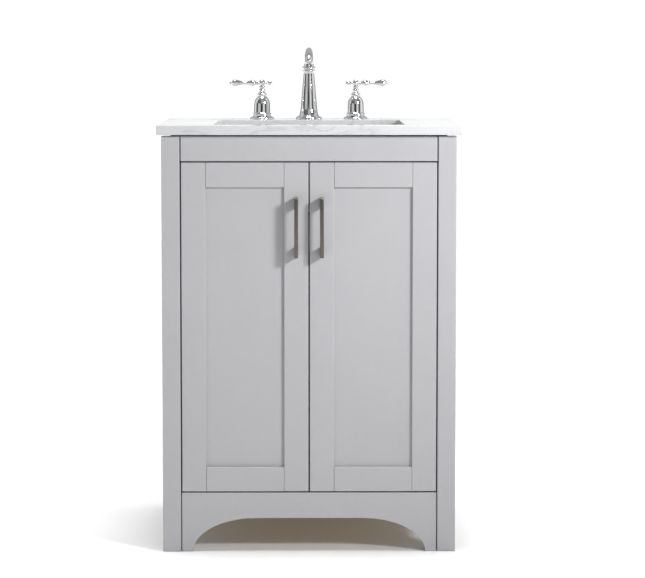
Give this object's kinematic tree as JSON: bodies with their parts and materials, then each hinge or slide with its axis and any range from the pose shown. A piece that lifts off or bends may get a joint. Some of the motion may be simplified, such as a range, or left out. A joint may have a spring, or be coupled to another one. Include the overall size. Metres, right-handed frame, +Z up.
{
  "type": "bathroom vanity cabinet",
  "caption": "Grey shaker vanity cabinet with hinged doors, arched valance, stone top, undermount basin and a widespread faucet.",
  "frame": {"origin": "centre of the outline on the floor, between the pulls at the front and the stone's back edge", "axes": "+X to the viewer's right, +Y from the doors to the wall, +Z up"},
  "size_m": [0.61, 0.501, 1.0193],
  "materials": {
    "grey_paint": "satin grey painted hardwood",
    "cabinet_interior": "clear-coated plywood",
    "white_quartz": "polished white stone with faint grey veins",
    "basin_ceramic": "glossy white glaze",
    "chrome": "polished",
    "brushed_nickel": "brushed, warm dark nickel",
    "hinge_steel": "plated",
    "valve_brass": "plain"
  },
  "bodies": {
    "cabinet": {"back_panel": "cabinet_interior", "basin": "basin_ceramic", "bottom_deck": "cabinet_interior", "countertop": "white_quartz", "drain_flange": "chrome", "drain_lock_nut": "valve_brass", "front_post_left": "grey_paint", "front_post_right": "grey_paint", "left_handle_bell": "chrome", "left_lower_hinge_arm": "hinge_steel", "left_upper_hinge_arm": "hinge_steel", "left_valve_body": "valve_brass", "left_valve_lock_nut": "valve_brass", "rear_nailing_rail": "cabinet_interior", "rear_post_left": "grey_paint", "rear_post_right": "grey_paint", "right_handle_bell": "chrome", "right_lower_hinge_arm": "hinge_steel", "right_upper_hinge_arm": "hinge_steel", "right_valve_body": "valve_brass", "right_valve_lock_nut": "valve_brass", "side_panel_left": "grey_paint", "side_panel_right": "grey_paint", "spout_base": "chrome", "spout_lock_nut": "valve_brass", "top_front_rail": "grey_paint", "valance": "grey_paint"},
    "left_door": {"left_door_bottom_rail": "grey_paint", "left_door_hinge_stile": "grey_paint", "left_door_panel": "grey_paint", "left_door_pull": "brushed_nickel", "left_door_pull_stile": "grey_paint", "left_door_top_rail": "grey_paint", "left_lower_hinge_cup": "hinge_steel", "left_upper_hinge_cup": "hinge_steel"},
    "left_inner_links": {"left_lower_hinge_inner_link": "hinge_steel", "left_upper_hinge_inner_link": "hinge_steel"},
    "left_outer_links": {"left_lower_hinge_outer_link": "hinge_steel", "left_upper_hinge_outer_link": "hinge_steel"},
    "left_handle": {"left_handle_hub": "chrome", "left_handle_lever": "chrome"},
    "right_door": {"right_door_bottom_rail": "grey_paint", "right_door_hinge_stile": "grey_paint", "right_door_panel": "grey_paint", "right_door_pull": "brushed_nickel", "right_door_pull_stile": "grey_paint", "right_door_top_rail": "grey_paint", "right_lower_hinge_cup": "hinge_steel", "right_upper_hinge_cup": "hinge_steel"},
    "right_inner_links": {"right_lower_hinge_inner_link": "hinge_steel", "right_upper_hinge_inner_link": "hinge_steel"},
    "right_outer_links": {"right_lower_hinge_outer_link": "hinge_steel", "right_upper_hinge_outer_link": "hinge_steel"},
    "right_handle": {"right_handle_hub": "chrome", "right_handle_lever": "chrome"},
    "spout": {"aerator": "chrome", "spout_arch": "chrome"},
    "stopper": {"drain_stopper": "chrome"}
  },
  "joints": [
    {"name": "left_door_swing", "type": "hinge", "parent": "cabinet", "child": "left_door", "pos_m": [-0.25825, -0.22, 0.1225], "axis": [0, 0, -1], "range_deg": [0, 105]},
    {"name": "left_inner_link_turn", "type": "hinge", "parent": "cabinet", "child": "left_inner_links", "pos_m": [-0.2425, -0.191, 0.2175], "axis": [0, 0, -1], "range_deg": [0, 105]},
    {"name": "left_outer_link_turn", "type": "hinge", "parent": "left_door", "child": "left_outer_links", "pos_m": [-0.2365, -0.1925, 0.2175], "axis": [0, 0, 1], "range_deg": [0, 105]},
    {"name": "left_handle_turn", "type": "hinge", "parent": "cabinet", "child": "left_handle", "pos_m": [-0.1016, 0.1825, 0.942], "axis": [0, 0, 1], "range_deg": [0, 90]},
    {"name": "right_door_swing", "type": "hinge", "parent": "cabinet", "child": "right_door", "pos_m": [0.25825, -0.22, 0.1225], "axis": [0, 0, 1], "range_deg": [0, 105]},
    {"name": "right_inner_link_turn", "type": "hinge", "parent": "cabinet", "child": "right_inner_links", "pos_m": [0.2425, -0.191, 0.2175], "axis": [0, 0, 1], "range_deg": [0, 105]},
    {"name": "right_outer_link_turn", "type": "hinge", "parent": "right_door", "child": "right_outer_links", "pos_m": [0.2365, -0.1925, 0.2175], "axis": [0, 0, -1], "range_deg": [0, 105]},
    {"name": "right_handle_turn", "type": "hinge", "parent": "cabinet", "child": "right_handle", "pos_m": [0.1016, 0.1825, 0.942], "axis": [0, 0, -1], "range_deg": [0, 90]},
    {"name": "spout_swivel", "type": "hinge", "parent": "cabinet", "child": "spout", "pos_m": [0, 0.1825, 0.974], "axis": [0, 0, 1], "range_deg": [-60, 60]},
    {"name": "stopper_lift", "type": "slide", "parent": "cabinet", "child": "stopper", "axis": [0, 0, 1], "range_m": [0, 0.009]}
  ],
  "couplings": [
    {"joint": "left_inner_link_turn", "follows": "left_door_swing", "ratio": 1},
    {"joint": "left_outer_link_turn", "follows": "left_door_swing", "ratio": 1},
    {"joint": "right_inner_link_turn", "follows": "right_door_swing", "ratio": 1},
    {"joint": "right_outer_link_turn", "follows": "right_door_swing", "ratio": 1}
  ]
}
